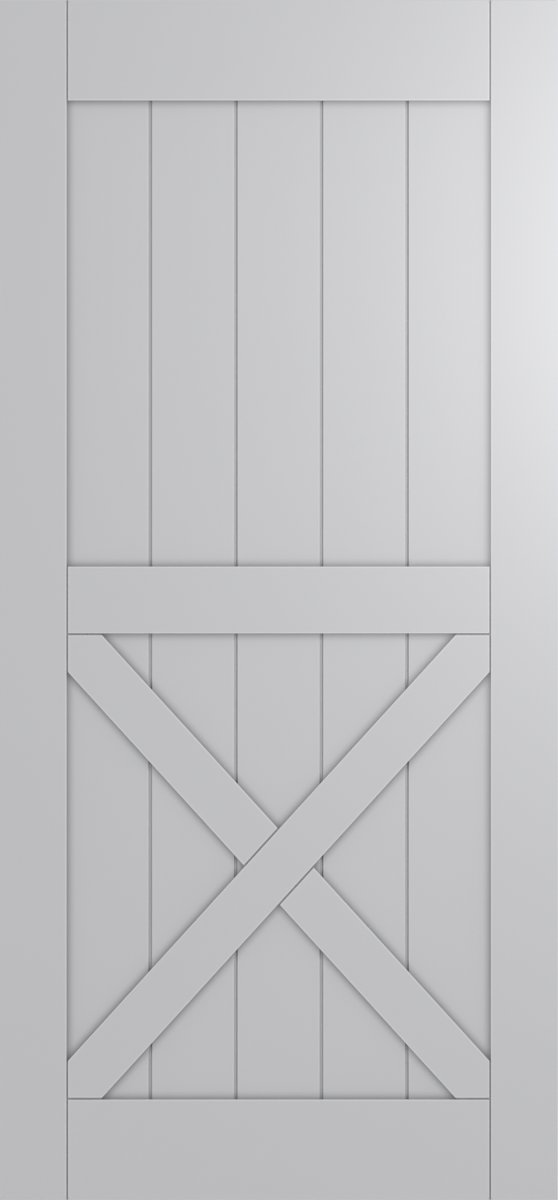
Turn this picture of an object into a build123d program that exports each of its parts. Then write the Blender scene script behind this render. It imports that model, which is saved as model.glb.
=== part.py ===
from build123d import *
import math
import os

os.makedirs("parts", exist_ok=True)

# A framed, boarded and braced sliding door leaf, all timber.
# Millimetres. X runs across the leaf, Z runs up, and the front face looks towards -Y.
# The origin is at the middle of the bottom edge.

# Leaf
leaf_width = 1000.0
leaf_height = 2150.0
leaf_thickness = 40.0

# Frame members
stile_width = 120.0
top_rail_height = 180.0
mid_rail_height = 120.0
mid_rail_middle = 1075.0
bottom_rail_height = 180.0

# Tongued and grooved boards, bevelled at each joint, with a land between bevel and tongue
board_count = 5
board_thickness = 20.0
bevel_width = 2.4
bevel_depth = 3.0
land_width = 2.0
board_gap = 0.4
tongue_length = 8.0
tongue_thickness = 6.0
tongue_side_clearance = 0.15
tongue_end_clearance = 0.5

# Groove round each field that houses the boards and the rails' stub tenons
board_housing = 10.0
housing_side_clearance = 0.1
housing_end_clearance = 2.0
tenon_end_clearance = 1.0

# Quirks down the butt joints' faces, narrow against the stiles, and eased edges
stile_quirk_width = 2.2
brace_quirk_width = 2.8
quirk_depth = 3.0
joint_arris = 0.9
outer_radius = 1.0

# Loose tenons that tie each end of a rail to its stile
loose_tenon_thickness = 12.0
loose_tenon_length = 120.0
loose_tenon_margin = 20.0
loose_tenon_chamfer = 1.5
mortise_side_clearance = 0.1
mortise_end_clearance = 2.0

# X braces planted on both faces of the lower field, flush with the frame
brace_width = 90.0
brace_clearance = 0.2

# Pins that tie front braces to back braces through the middle of each board they cross
pin_diameter = 8.0
pin_cover = 4.0
pin_chamfer = 0.5
pin_radial_clearance = 0.1
pin_end_clearance = 0.5

# Groove in the bottom edge that the floor guide runs in
guide_groove_width = 10.0
guide_groove_depth = 20.0

# How near an edge's middle lies to a plane to count as in it
same_plane = 0.05

# Frame sizes that follow from those above
opening_width = leaf_width - 2 * stile_width
inner_edge = opening_width / 2
top_rail_bottom = leaf_height - top_rail_height
mid_rail_bottom = mid_rail_middle - mid_rail_height / 2
mid_rail_top = mid_rail_middle + mid_rail_height / 2
groove_width = board_thickness + 2 * housing_side_clearance
groove_depth = board_housing + housing_end_clearance
tenon_length = groove_depth - tenon_end_clearance
mortise_width = loose_tenon_thickness + 2 * mortise_side_clearance
mortise_depth = loose_tenon_length / 2 + mortise_end_clearance

# Boards: every visible flat is as wide as the next, with two bevels and a land between them
joint_width = 2 * bevel_width + land_width + board_gap
flat_width = (opening_width - (board_count - 1) * joint_width) / board_count
board_pitch = flat_width + joint_width
board_middles = [(index - (board_count - 1) / 2) * board_pitch for index in range(board_count)]
board_groove_width = tongue_thickness + 2 * tongue_side_clearance
board_groove_depth = tongue_length - board_gap + tongue_end_clearance

# Braces: centrelines run from corner to corner of the lower field
brace_field_height = mid_rail_bottom - bottom_rail_height
brace_field_middle = (mid_rail_bottom + bottom_rail_height) / 2
brace_thickness = (leaf_thickness - board_thickness) / 2
brace_angle = math.atan2(brace_field_height, opening_width)
brace_reach = 2 * math.hypot(opening_width, brace_field_height)
pin_hole_radius = pin_diameter / 2 + pin_radial_clearance
pin_in_brace = brace_thickness - pin_cover - pin_end_clearance

# Each rail: its bottom, its top and its edges that are grooved for boards
rails = {
    "top_rail": (top_rail_bottom, leaf_height, (top_rail_bottom,)),
    "mid_rail": (mid_rail_bottom, mid_rail_top, (mid_rail_bottom, mid_rail_top)),
    "bottom_rail": (0.0, bottom_rail_height, (bottom_rail_height,)),
}

# Bottom and top of the loose tenons of each rail, in the timber that its grooves leave
tenon_spans = {
    "top_rail": (
        top_rail_bottom + groove_depth + loose_tenon_margin,
        leaf_height - loose_tenon_margin,
    ),
    "mid_rail": (
        mid_rail_bottom + groove_depth + loose_tenon_margin,
        mid_rail_top - groove_depth - loose_tenon_margin,
    ),
    "bottom_rail": (
        guide_groove_depth + loose_tenon_margin,
        bottom_rail_height - groove_depth - loose_tenon_margin,
    ),
}

# The faces of the boards in the lower field, each seen square on with its local Y up.
# The back is the front given half a turn about Z, so both look alike from their own side.
board_faces = {
    "front": Plane((0, -board_thickness / 2, brace_field_middle), x_dir=(1, 0, 0), z_dir=(0, -1, 0)),
    "back": Plane((0, board_thickness / 2, brace_field_middle), x_dir=(-1, 0, 0), z_dir=(0, 1, 0)),
}


def save(piece, name):
    """Label a finished piece and write it under its own name."""
    piece.label = name
    export_step(piece, f"parts/{name}.step")


def in_leaf_face(edge):
    """Whether an edge lies in the front or back face of the leaf."""
    return abs(edge.center().Y) > leaf_thickness / 2 - same_plane


def in_leaf_end(edge):
    """Whether an edge lies in the top or bottom edge of the leaf."""
    return abs(edge.center().Z - leaf_height / 2) > leaf_height / 2 - same_plane


def cut_guide_groove():
    """Cut the floor guide's groove along the bottom of the piece being made."""
    with BuildSketch(Plane.YZ) as section:
        Rectangle(guide_groove_width, 2 * guide_groove_depth)
    extrude(section.sketch, amount=leaf_width, both=True, mode=Mode.SUBTRACT)


# Stiles: full height, grooved down the inner edge and mortised for the rails' loose tenons
with BuildPart() as right_stile:
    with BuildSketch():
        with Locations((inner_edge + stile_width / 2, 0)):
            Rectangle(stile_width, leaf_thickness)
        with Locations((inner_edge, 0)):
            Rectangle(2 * groove_depth, groove_width, mode=Mode.SUBTRACT)
    extrude(amount=leaf_height)
    upright_edges = right_stile.edges().filter_by(Axis.Z).filter_by(in_leaf_face).sort_by(Axis.X)
    chamfer(upright_edges[:2], joint_arris)
    end_edges = right_stile.edges().filter_by(Axis.X).filter_by(in_leaf_face)
    outer_edges = right_stile.faces().sort_by(Axis.X)[-1].edges()
    fillet(end_edges + outer_edges, outer_radius)
    with BuildSketch(Plane.YZ.offset(inner_edge)):
        for low, high in tenon_spans.values():
            with Locations((0, (low + high) / 2)):
                Rectangle(mortise_width, high - low + 2 * mortise_side_clearance)
    extrude(amount=mortise_depth, mode=Mode.SUBTRACT)
    cut_guide_groove()
save(right_stile.part, "right_stile")

with BuildPart() as left_stile:
    mirror(right_stile.part, about=Plane.YZ)
save(left_stile.part, "left_stile")

# Rails: between the stiles, with a stub tenon and a mortise at each end, a quirk down the face
# of each shoulder, and a groove in each edge that houses boards
for name, (bottom, top, grooved_edges) in rails.items():
    low, high = tenon_spans[name]
    with BuildPart() as rail:
        with BuildSketch(Plane.XY.offset(bottom)):
            Rectangle(opening_width - 2 * stile_quirk_width, leaf_thickness)
            Rectangle(opening_width, leaf_thickness - 2 * quirk_depth)
            Rectangle(opening_width + 2 * tenon_length, board_thickness)
        extrude(amount=top - bottom)
        face_edges = rail.edges().filter_by(in_leaf_face)
        chamfer([edge for edge in face_edges if not in_leaf_end(edge)], joint_arris)
        outer_edges = rail.edges().filter_by(Axis.X).filter_by(in_leaf_face).filter_by(in_leaf_end)
        if outer_edges:
            fillet(outer_edges, outer_radius)
        with BuildSketch(Plane.YZ):
            with Locations([(0, height) for height in grooved_edges]):
                Rectangle(groove_width, 2 * groove_depth)
        extrude(amount=leaf_width, both=True, mode=Mode.SUBTRACT)
        for end in (-1, 1):
            with BuildSketch(Plane.YZ.offset(end * (inner_edge - mortise_depth))):
                with Locations((0, (low + high) / 2)):
                    Rectangle(mortise_width, high - low + 2 * mortise_side_clearance)
            extrude(amount=end * (mortise_depth + tenon_length), mode=Mode.SUBTRACT)
        if bottom < guide_groove_depth:
            cut_guide_groove()
    save(rail.part, name)

    with BuildPart() as loose_tenons:
        for end in (-1, 1):
            with BuildSketch(Plane.YZ.offset(end * inner_edge - loose_tenon_length / 2)):
                with Locations((0, (low + high) / 2)):
                    Rectangle(loose_tenon_thickness, high - low)
            extrude(amount=loose_tenon_length)
        chamfer(loose_tenons.faces().filter_by(Axis.X).edges(), loose_tenon_chamfer)
    save(loose_tenons.part, f"{name}_tenons")


def pin_places(middle):
    """Where pins go through a board, by its middle: X across and Y up from where braces cross.

    A pin runs from a front brace to a back one. One face's short braces lie behind the other
    face's long brace and stop clear of the crossing, so near it the only pin is in its middle.
    """
    if middle == 0:
        return [(0.0, 0.0)]
    rise = middle * math.tan(brace_angle)
    from_long_brace = abs(2 * middle * math.sin(brace_angle))
    if from_long_brace < brace_width / 2 + pin_diameter:
        return []
    return [(middle, rise), (middle, -rise)]


# Boards: housed in the frame all round, tongues towards +X, bored where braces are pinned
for field, bottom, top in (
    ("lower", bottom_rail_height, mid_rail_bottom),
    ("upper", mid_rail_top, top_rail_bottom),
):
    for index, middle in enumerate(board_middles):
        is_first = index == 0
        is_last = index == board_count - 1
        left = -inner_edge - board_housing if is_first else middle - flat_width / 2 - bevel_width
        right = inner_edge + board_housing if is_last else middle + flat_width / 2 + bevel_width
        with BuildPart() as board:
            with BuildSketch(Plane.XY.offset(bottom - board_housing)) as section:
                with Locations(((left + right) / 2, 0)):
                    Rectangle(right - left, board_thickness)
                left_edge = section.edges().sort_by(Axis.X)[0]
                right_edge = section.edges().sort_by(Axis.X)[-1]
                if not is_first:
                    chamfer(left_edge.vertices(), bevel_depth, bevel_width, reference=left_edge)
                    with Locations((left, 0)):
                        Rectangle(2 * board_groove_depth, board_groove_width, mode=Mode.SUBTRACT)
                if not is_last:
                    chamfer(right_edge.vertices(), bevel_depth, bevel_width, reference=right_edge)
                    with Locations((right, 0)):
                        Rectangle(2 * land_width, board_thickness - 2 * bevel_depth)
                    with Locations((right + land_width, 0)):
                        Rectangle(2 * tongue_length, tongue_thickness)
            extrude(amount=top - bottom + 2 * board_housing)
            if field == "lower" and pin_places(middle):
                with BuildSketch(board_faces["front"]):
                    with Locations(pin_places(middle)):
                        Circle(pin_hole_radius)
                extrude(amount=-board_thickness, mode=Mode.SUBTRACT)
        save(board.part, f"{field}_board_{index + 1}")


# Braces: each is a plain strip under a face layer that is cut back by the quirks where the
# brace butts against a stile, and against a rail or the long brace
brace_layers = (
    (brace_clearance, brace_clearance, 0.0, brace_thickness - quirk_depth),
    (stile_quirk_width, brace_quirk_width, brace_thickness - quirk_depth, quirk_depth),
)
all_pin_places = [place for middle in board_middles for place in pin_places(middle)]

for side, board_face in board_faces.items():
    outwards = Axis(board_face.origin, board_face.z_dir)

    # The long brace runs through, from the lower left to the upper right corner
    with BuildPart() as long_brace:
        for at_stile, at_rail, height, layer in brace_layers:
            with BuildSketch(board_face.offset(height)):
                Rectangle(opening_width - 2 * at_stile, brace_field_height - 2 * at_rail)
                Rectangle(
                    brace_reach, brace_width, rotation=math.degrees(brace_angle), mode=Mode.INTERSECT
                )
            extrude(amount=layer)
        chamfer(long_brace.faces().sort_by(outwards)[-1].edges(), joint_arris)
        with BuildSketch(board_face):
            with Locations([(x, y) for x, y in all_pin_places if x * y >= 0]):
                Circle(pin_hole_radius)
        extrude(amount=pin_in_brace + pin_end_clearance, mode=Mode.SUBTRACT)
    save(long_brace.part, f"{side}_brace_long")

    # The short braces fall from the upper left and to the lower right, and stop against it
    for half, away in (("upper", 1), ("lower", -1)):
        with BuildPart() as short_brace:
            for at_stile, at_rail, height, layer in brace_layers:
                beyond = away * (brace_width / 2 + at_rail + brace_reach / 2)
                with BuildSketch(board_face.offset(height)):
                    Rectangle(opening_width - 2 * at_stile, brace_field_height - 2 * at_rail)
                    Rectangle(
                        brace_reach, brace_width, rotation=-math.degrees(brace_angle), mode=Mode.INTERSECT
                    )
                    with Locations((-beyond * math.sin(brace_angle), beyond * math.cos(brace_angle))):
                        Rectangle(
                            brace_reach,
                            brace_reach,
                            rotation=math.degrees(brace_angle),
                            mode=Mode.INTERSECT,
                        )
                extrude(amount=layer)
            chamfer(short_brace.faces().sort_by(outwards)[-1].edges(), joint_arris)
            with BuildSketch(board_face):
                with Locations([(x, y) for x, y in all_pin_places if x * y < 0 < y * away]):
                    Circle(pin_hole_radius)
            extrude(amount=pin_in_brace + pin_end_clearance, mode=Mode.SUBTRACT)
        save(short_brace.part, f"{side}_brace_{half}")

# Pins: through the boards and into the braces on both sides, short of their faces
with BuildPart() as brace_pins:
    with BuildSketch(board_faces["front"].offset(pin_in_brace)):
        with Locations(all_pin_places):
            Circle(pin_diameter / 2)
    extrude(amount=-(board_thickness + 2 * pin_in_brace))
    chamfer(brace_pins.edges().filter_by(GeomType.CIRCLE), pin_chamfer)
save(brace_pins.part, "brace_pins")
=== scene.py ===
import math

import bpy
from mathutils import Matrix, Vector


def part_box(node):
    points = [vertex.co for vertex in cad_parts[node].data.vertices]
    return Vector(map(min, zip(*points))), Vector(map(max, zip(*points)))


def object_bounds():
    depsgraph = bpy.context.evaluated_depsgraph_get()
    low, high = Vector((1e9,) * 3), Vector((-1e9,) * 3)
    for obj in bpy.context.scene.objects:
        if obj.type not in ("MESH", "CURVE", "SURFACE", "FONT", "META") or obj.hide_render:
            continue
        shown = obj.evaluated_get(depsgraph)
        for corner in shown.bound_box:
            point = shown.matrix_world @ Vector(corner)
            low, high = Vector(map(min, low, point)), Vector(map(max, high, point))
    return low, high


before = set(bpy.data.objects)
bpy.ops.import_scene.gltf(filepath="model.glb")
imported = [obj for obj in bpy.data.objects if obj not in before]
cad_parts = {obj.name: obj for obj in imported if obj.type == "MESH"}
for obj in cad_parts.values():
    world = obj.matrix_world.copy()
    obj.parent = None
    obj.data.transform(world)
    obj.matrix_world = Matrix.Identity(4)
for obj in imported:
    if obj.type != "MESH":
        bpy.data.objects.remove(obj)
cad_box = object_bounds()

# Metres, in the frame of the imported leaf: X across, Z up, front face towards -Y
low, high = cad_box
leaf_height = high[2] - low[2]
leaf_middle = (0.0, 0.0, leaf_height / 2)
front_y = low[1]
back_y = high[1]

# How far the boards' two faces lie from the middle of the leaf's thickness
board_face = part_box("upper_board_1")[1][1]

# Satin paint: its colour, and how far its tone and its gloss wander
paint_colour = (0.553, 0.553, 0.568)
paint_roughness = 0.48
roughness_spread = 0.05
cloud_spread = 0.006
grain_spread = 0.004

# Patterns in the paint: repeats in each metre, across and along the grain, and how rich each is
cloud_repeats = 5.0
cloud_detail = 2.0
grain_repeats_across = 260.0
grain_repeats_along = 9.0
grain_detail = 3.0
stipple_repeats = 750.0
stipple_detail = 1.0

# Heights of the relief in the paint film
grain_relief = 0.00002
stipple_relief = 0.000012

# Shade painted into the colour in corners, a highlight painted along edges, and how far each of them
# reaches
corner_reach = 0.015
corner_shade = 0.27
edge_reach = 0.0032
edge_light = 0.85
shade_samples = 4

# On boards' faces the painted shade is hardly deeper where edges meet than beside a straight one
least_board_tone = 0.62
face_tolerance = 0.0005

# A highlight is painted by edges only on faces that look this squarely forwards or back, and this
# far inside the leaf's outline. The painted highlight fades with this power of how open the
# surroundings are
least_facing = 0.95
outline_margin = 0.006
edge_fade = 9.0

# Bare beech of the pieces inside the joints
beech_colour = (0.60, 0.43, 0.26)
beech_spread = 0.1
beech_roughness = 0.6

# Light: even daylight from all round, and a lamp up to the right of the face that it lights
daylight = 0.841
lamp_beyond_edge = 0.62
lamp_off_face = 0.761
lamp_height = 1.70
lamp_watts = 27.8
lamp_radius = 0.05

# Floor and background
floor_radius = 20.0
floor_sides = 96
floor_tone = 0.8
floor_roughness = 0.9

# Camera: a long lens, square on, as far off as makes the leaf fill the frame from edge to edge
lens_mm = 200.0
sensor_mm = 36.0
camera_right = 0.00057

white = (1.0, 1.0, 1.0, 1.0)

# A tone that leaves a colour as it is
unchanged = 1.0

scene = bpy.context.scene


def add(tree, kind, inputs, **settings):
    """Add a node with its settings, and with a number or a link on each named input."""
    node = tree.nodes.new(kind)
    for name, value in settings.items():
        setattr(node, name, value)
    for name, value in inputs.items():
        if isinstance(value, bpy.types.NodeSocket):
            tree.links.new(value, node.inputs[name])
        else:
            node.inputs[name].default_value = value
    return node


def calculate(tree, operation, first, second):
    """The result of a sum, a comparison and so on, of two values."""
    return add(tree, "ShaderNodeMath", {0: first, 1: second}, operation=operation).outputs["Value"]


def product(tree, first, *others):
    """The product of all the values."""
    result = first
    for other in others:
        result = calculate(tree, "MULTIPLY", result, other)
    return result


def spread_about(tree, value, middle, spread):
    """Turn a noise value of 0 to 1 into one that wanders about a middle."""
    limits = {"Value": value, "To Min": middle - spread, "To Max": middle + spread}
    return add(tree, "ShaderNodeMapRange", limits, clamp=False).outputs["Result"]


def noise(tree, place, seed, detail, repeats=1.0):
    """Seeded noise with so many repeats in each unit of a place."""
    wanted = {"Vector": place, "W": seed, "Scale": repeats, "Detail": detail}
    return add(tree, "ShaderNodeTexNoise", wanted, noise_dimensions="4D").outputs["Fac"]


def along_grain(tree, lean):
    """Places in metres whose Z runs along a grain that leans by an angle to the right."""
    place = add(tree, "ShaderNodeTexCoord", {}).outputs["Object"]
    turned = {"Vector": place, "Rotation": (0.0, lean, 0.0)}
    return add(tree, "ShaderNodeMapping", turned, vector_type="TEXTURE").outputs["Vector"]


def fibres(tree, place, seed):
    """Long fine fibres that run along the Z of a place."""
    repeats = (grain_repeats_across, grain_repeats_across, grain_repeats_along)
    stretched = add(tree, "ShaderNodeVectorMath", {0: place, 1: repeats}, operation="MULTIPLY")
    return noise(tree, stretched.outputs["Vector"], seed, grain_detail)


def openness(tree, reach, **settings):
    """How open the surroundings of a point are within a reach: 1 in the open, less in corners."""
    inputs = {"Distance": reach}
    node = add(tree, "ShaderNodeAmbientOcclusion", inputs, samples=shade_samples, **settings)
    return node.outputs["AO"]


def magnitudes(tree, vector):
    """The X, Y and Z of a vector without their signs."""
    positive = add(tree, "ShaderNodeVectorMath", {0: vector}, operation="ABSOLUTE").outputs["Vector"]
    return add(tree, "ShaderNodeSeparateXYZ", {"Vector": positive}).outputs


def away_from_middle(tree):
    """How far off the middle of the leaf a point lies: across it, in depth and in height."""
    place = add(tree, "ShaderNodeTexCoord", {}).outputs["Object"]
    from_middle = add(tree, "ShaderNodeVectorMath", {0: place, 1: leaf_middle}, operation="SUBTRACT")
    return magnitudes(tree, from_middle.outputs["Vector"])


def painted_corner_shade(tree, open_around, away):
    """Painted shade: a tone that darkens the colour where corners shut out the light, though only so
    far on boards' faces.
    """
    shade = {"Value": open_around, "To Min": corner_shade}
    tone = add(tree, "ShaderNodeMapRange", shade).outputs["Result"]
    at_face = {0: away["Y"], 1: board_face, 2: face_tolerance}
    on_face = add(tree, "ShaderNodeMath", at_face, operation="COMPARE").outputs["Value"]
    return calculate(tree, "MAXIMUM", tone, product(tree, least_board_tone, on_face))


def painted_edge_light(tree, open_around, away):
    """A painted highlight: a tone that lightens the colour by the edges of open faces, as the timber
    behind them thins out.
    """
    facing = magnitudes(tree, add(tree, "ShaderNodeNewGeometry", {}).outputs["True Normal"])
    light = product(
        tree,
        edge_light,
        calculate(tree, "POWER", open_around, edge_fade),
        calculate(tree, "GREATER_THAN", facing["Y"], least_facing),
        calculate(tree, "LESS_THAN", away["X"], high[0] - outline_margin),
        calculate(tree, "LESS_THAN", away["Z"], leaf_height / 2 - outline_margin),
    )
    timber_behind = openness(tree, edge_reach, inside=True, only_local=True)
    brightest = calculate(tree, "ADD", light, unchanged)
    limits = {"Value": timber_behind, "To Min": brightest, "To Max": unchanged}
    return add(tree, "ShaderNodeMapRange", limits).outputs["Result"]


def relief(tree, *layers):
    """The normals of a surface that is raised by patterns, each with its own height."""
    below = {}
    for pattern, height in layers:
        bump = add(tree, "ShaderNodeBump", {"Height": pattern, "Distance": height, **below})
        below = {"Normal": bump.outputs["Normal"]}
    return below["Normal"]


def new_material(name):
    """A node material with its tree and its shader."""
    material = bpy.data.materials.new(name)
    material.use_nodes = True
    return material, material.node_tree, material.node_tree.nodes["Principled BSDF"]


def colour_with(tree, shader, colour, tone):
    """Give a shader a colour whose tone varies over the surface."""
    toned = add(tree, "ShaderNodeVectorMath", {0: colour, "Scale": tone}, operation="SCALE")
    tree.links.new(toned.outputs["Vector"], shader.inputs["Base Color"])


def painted(node, seed):
    """Satin paint over timber, with shade painted into its corners and a highlight painted at its
    edges.
    """
    material, tree, shader = new_material(f"{node}_paint")
    place = along_grain(tree, lean_of(node))
    cloud = noise(tree, place, seed, cloud_detail, cloud_repeats)
    grain = fibres(tree, place, seed)
    stipple = noise(tree, place, seed, stipple_detail, stipple_repeats)
    open_around = openness(tree, corner_reach)
    away = away_from_middle(tree)
    # The tone holds painted shade in corners and a painted highlight at edges, besides the paint's
    # own random variation
    tone = product(
        tree,
        painted_corner_shade(tree, open_around, away),
        painted_edge_light(tree, open_around, away),
        spread_about(tree, cloud, unchanged, cloud_spread),
        spread_about(tree, grain, unchanged, grain_spread),
    )
    colour_with(tree, shader, paint_colour, tone)
    roughness = spread_about(tree, cloud, paint_roughness, roughness_spread)
    tree.links.new(roughness, shader.inputs["Roughness"])
    normal = relief(tree, (stipple, stipple_relief), (grain, grain_relief))
    tree.links.new(normal, shader.inputs["Normal"])
    return material


def beech(node, seed):
    """Bare beech with its fine grain."""
    material, tree, shader = new_material(f"{node}_beech")
    grain = fibres(tree, along_grain(tree, lean_of(node)), seed)
    colour_with(tree, shader, beech_colour, spread_about(tree, grain, unchanged, beech_spread))
    shader.inputs["Roughness"].default_value = beech_roughness
    tree.links.new(relief(tree, (grain, grain_relief)), shader.inputs["Normal"])
    return material


def lean_of(node):
    """How far the grain of a node leans from upright: its long way for straight members."""
    if "_brace_" in node:
        return brace_lean(node)
    low_corner, high_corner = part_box(node)
    width = high_corner[0] - low_corner[0]
    height = high_corner[2] - low_corner[2]
    return math.pi / 2 if width > height else 0.0


def brace_lean(node):
    """A front long brace rises to the right and a back one to the left; short ones cross them."""
    low_corner, high_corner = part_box("front_brace_long")
    lean = math.atan2(high_corner[0] - low_corner[0], high_corner[2] - low_corner[2])
    rises_right = node.startswith("front") == node.endswith("long")
    return lean if rises_right else -lean


# Materials of the CAD pieces
for seed, (node, piece) in enumerate(sorted(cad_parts.items())):
    make = beech if node.endswith(("tenons", "pins")) else painted
    piece.data.materials.clear()
    piece.data.materials.append(make(node, float(seed)))

# Floor, which lets the daylight past it, so that the leaf is lit as evenly from below
bpy.ops.mesh.primitive_circle_add(vertices=floor_sides, radius=floor_radius, fill_type="NGON")
floor = bpy.context.object
floor.name = "floor"
floor_material, floor_tree, floor_shader = new_material("floor_finish")
floor_shader.inputs["Base Color"].default_value = (floor_tone, floor_tone, floor_tone, 1.0)
floor_shader.inputs["Roughness"].default_value = floor_roughness
floor_shader.inputs["Specular IOR Level"].default_value = 0.0
floor.data.materials.append(floor_material)
floor.visible_diffuse = False
floor.visible_shadow = False

# World: daylight on everything, and behind it all the tone that the floor has far off
world = bpy.data.worlds.new("daylight")
world.use_nodes = True
scene.world = world
sky_tree = world.node_tree
sky_light = sky_tree.nodes["Background"]
sky_light.inputs["Color"].default_value = white
sky_light.inputs["Strength"].default_value = daylight
seen_sky = add(sky_tree, "ShaderNodeBackground", {"Color": white, "Strength": daylight * floor_tone})
ray = add(sky_tree, "ShaderNodeLightPath", {}).outputs
is_seen = calculate(sky_tree, "MAXIMUM", ray["Is Camera Ray"], ray["Is Glossy Ray"])
is_seen = calculate(sky_tree, "MAXIMUM", is_seen, ray["Is Transmission Ray"])
skies = {0: is_seen, 1: sky_light.outputs["Background"], 2: seen_sky.outputs["Background"]}
sky = add(sky_tree, "ShaderNodeMixShader", skies)
sky_tree.links.new(sky.outputs["Shader"], sky_tree.nodes["World Output"].inputs["Surface"])


def add_lamp(name, side, face_y, has_shadow):
    """A small lamp beyond the leaf's edge on one side, in front of one face."""
    lamp_data = bpy.data.lights.new(name, "POINT")
    lamp_data.energy = lamp_watts
    lamp_data.shadow_soft_size = lamp_radius
    lamp_data.use_shadow = has_shadow
    lamp = bpy.data.objects.new(name, lamp_data)
    lamp.location = (side * (high[0] + lamp_beyond_edge), face_y - side * lamp_off_face, lamp_height)
    scene.collection.objects.link(lamp)


# Lamps: only the one behind casts shadows, because the front face is lit without any
add_lamp("front_lamp", 1, front_y, False)
add_lamp("back_lamp", -1, back_y, True)

# Camera
camera_data = bpy.data.cameras.new("camera")
camera_data.sensor_width = sensor_mm
camera_data.lens = lens_mm
camera = bpy.data.objects.new("camera", camera_data)
camera.location = (camera_right, front_y - leaf_height * lens_mm / sensor_mm, leaf_height / 2)
camera.rotation_euler = (math.radians(90), 0, 0)
scene.collection.objects.link(camera)
scene.camera = camera

scene.view_settings.view_transform = "Standard"
